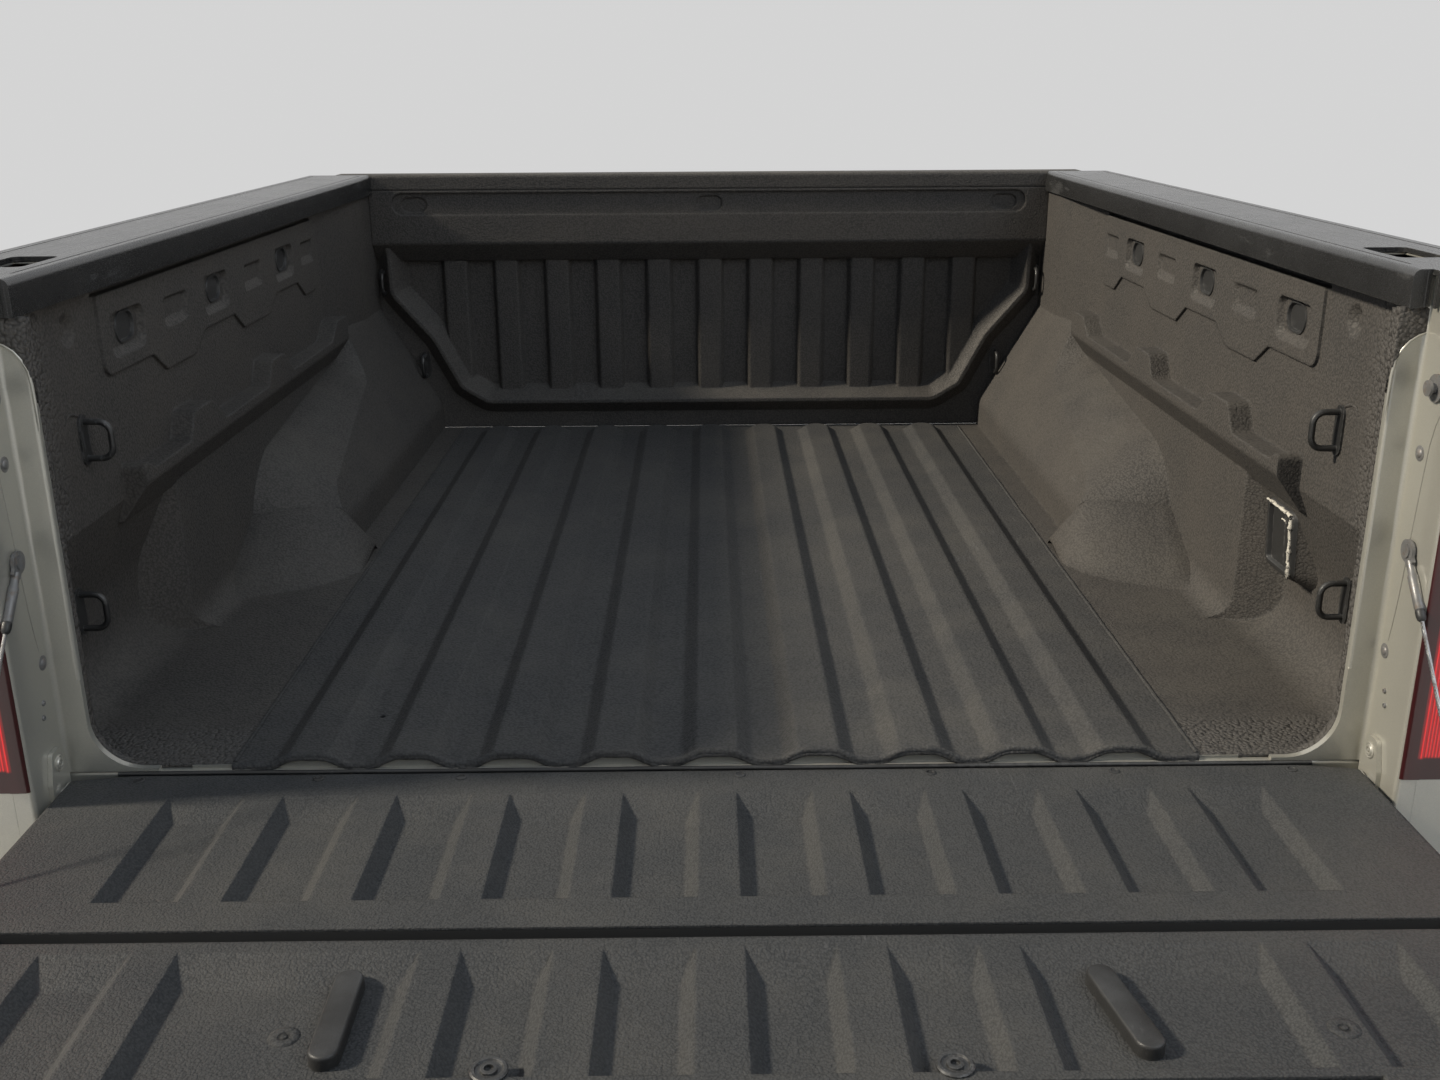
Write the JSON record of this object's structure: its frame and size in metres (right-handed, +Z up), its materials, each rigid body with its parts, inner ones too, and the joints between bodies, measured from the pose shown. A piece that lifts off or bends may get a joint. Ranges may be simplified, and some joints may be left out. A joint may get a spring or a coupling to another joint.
{
  "type": "pickup truck load bed with two-part tailgate",
  "caption": "Short pickup truck load bed: ribbed floor, wheelhouses, rail caps, tail lamps and an open drop tailgate with an inner gate.",
  "frame": {"origin": "centre of the four frame bolt holes, on the underside of the cross sills", "axes": "+X to the vehicle's right, +Y forward towards the cab, +Z up; the tailgate hangs open behind at -Y"},
  "size_m": [2.052, 2.47, 0.894],
  "materials": {
    "liner": "grainy sprayed bed liner on steel",
    "gate_liner": "dark textured coating",
    "body_paint": "light silver-beige metallic paint",
    "sill_paint": "black dipped primer",
    "black_plastic": "fine textured black moulding",
    "black_steel": "black powder coat",
    "bright_steel": "plated steel",
    "lamp_lens": "clear red lens",
    "rubber": "moulded black rubber"
  },
  "bodies": {
    "box": {"floor_panel": "liner", "cross_sill_1": "sill_paint", "cross_sill_2": "sill_paint", "cross_sill_3": "sill_paint", "cross_sill_4": "sill_paint", "inner_side_left": "liner", "inner_side_right": "liner", "headboard": "liner", "headboard_back": "body_paint", "bedside_left": "body_paint", "bedside_right": "body_paint", "pillar_left": "body_paint", "pillar_right": "body_paint", "rear_sill": "body_paint", "wheel_liner_left": "black_plastic", "wheel_liner_right": "black_plastic", "rail_cap_left": "black_plastic", "rail_cap_right": "black_plastic", "lamp_lens_left": "lamp_lens", "lamp_lens_right": "lamp_lens", "lamp_housing_left": "black_plastic", "lamp_housing_right": "black_plastic", "side_studs_left": "bright_steel", "side_studs_right": "bright_steel", "cable_left": "bright_steel", "cable_right": "bright_steel", "hinge_bracket_left": "bright_steel", "hinge_bracket_right": "bright_steel", "tie_downs_left": "black_steel", "tie_downs_right": "black_steel", "fuel_pocket": "black_plastic", "fuel_cap": "black_plastic", "outlet_cover": "black_plastic"},
    "tailgate": {"gate_panel": "gate_liner", "gate_shell": "body_paint", "gate_trunnion_left": "bright_steel", "gate_trunnion_right": "bright_steel"},
    "inner_gate": {"inner_gate_panel": "gate_liner", "inner_gate_shell": "body_paint", "gate_bar_left": "rubber", "gate_bar_right": "rubber", "gate_handle": "black_plastic"},
    "load_stop": {"load_stop": "gate_liner"},
    "fuel_door": {"fuel_door": "body_paint"}
  },
  "joints": [
    {"name": "tailgate_hinge", "type": "hinge", "parent": "box", "child": "tailgate", "pos_m": [0, -0.92, 0.05], "axis": [-1, 0, 0], "range_deg": [0, 90], "deforming": ["cable_left", "cable_right"]},
    {"name": "inner_gate_hinge", "type": "hinge", "parent": "tailgate", "child": "inner_gate", "pos_m": [0, -1.247, -0.002], "axis": [1, 0, 0], "range_deg": [0, 90]},
    {"name": "load_stop_hinge", "type": "hinge", "parent": "inner_gate", "child": "load_stop", "pos_m": [0, -1.526, 0.056], "axis": [1, 0, 0], "range_deg": [0, 90]},
    {"name": "fuel_door_hinge", "type": "hinge", "parent": "box", "child": "fuel_door", "pos_m": [-0.982, 0.796, 0.4], "axis": [0, 0, -1], "range_deg": [0, 85]}
  ]
}
